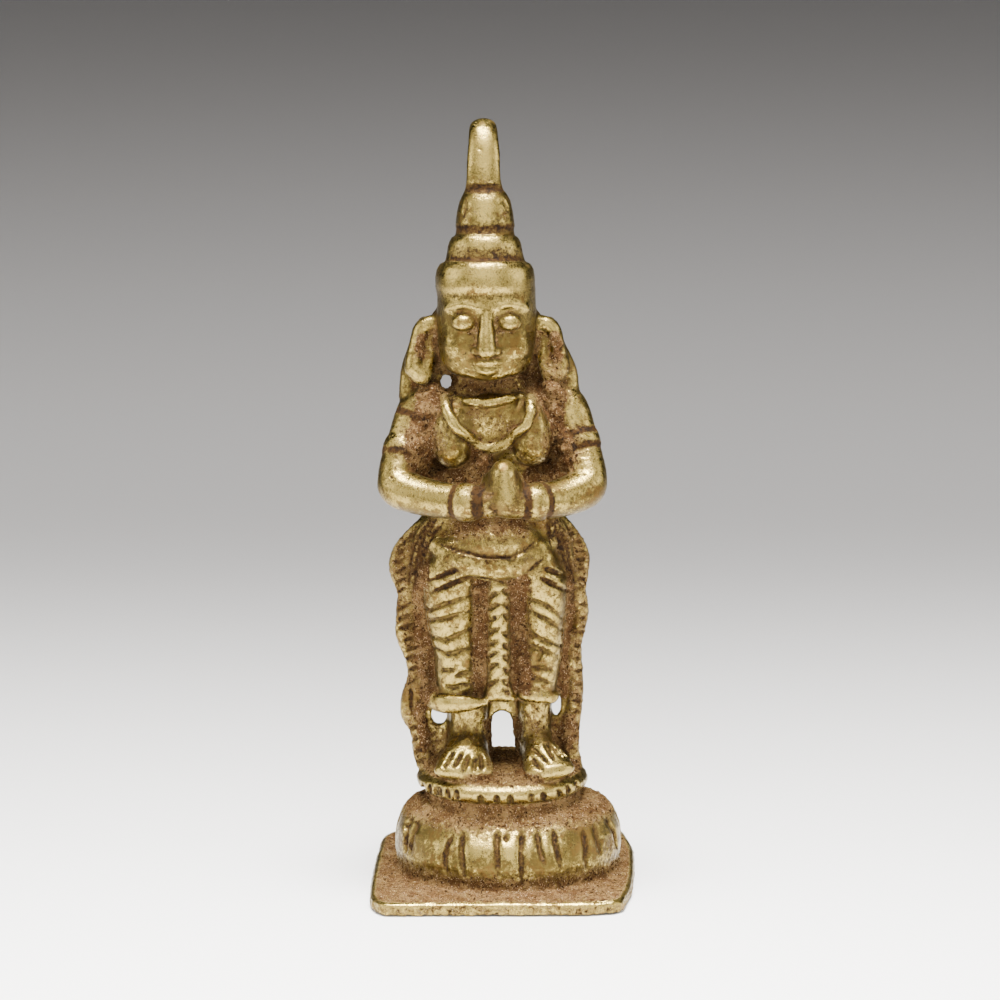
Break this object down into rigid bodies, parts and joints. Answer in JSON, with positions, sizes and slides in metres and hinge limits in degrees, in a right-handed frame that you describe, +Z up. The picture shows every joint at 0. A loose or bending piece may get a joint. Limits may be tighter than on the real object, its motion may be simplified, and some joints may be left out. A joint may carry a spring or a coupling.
{
  "type": "hanuman figure",
  "caption": "Small cast-brass hanuman figure standing with joined hands on a lotus foot and a square plate, with side scarves, a tiered crown and a looped tail above it.",
  "frame": {"origin": "middle of the flat underside of the foot plate", "axes": "+Z up, front of the figure towards -Y, the figure's left towards +X"},
  "size_m": [0.0256, 0.0256, 0.0752],
  "materials": {
    "cast_brass": "satin cast brass, rubbed pale on the high places, with brown patina and reddish earthy residue in the recesses"
  },
  "bodies": {
    "root": {"hanuman_figure": "cast_brass"}
  },
  "joints": []
}
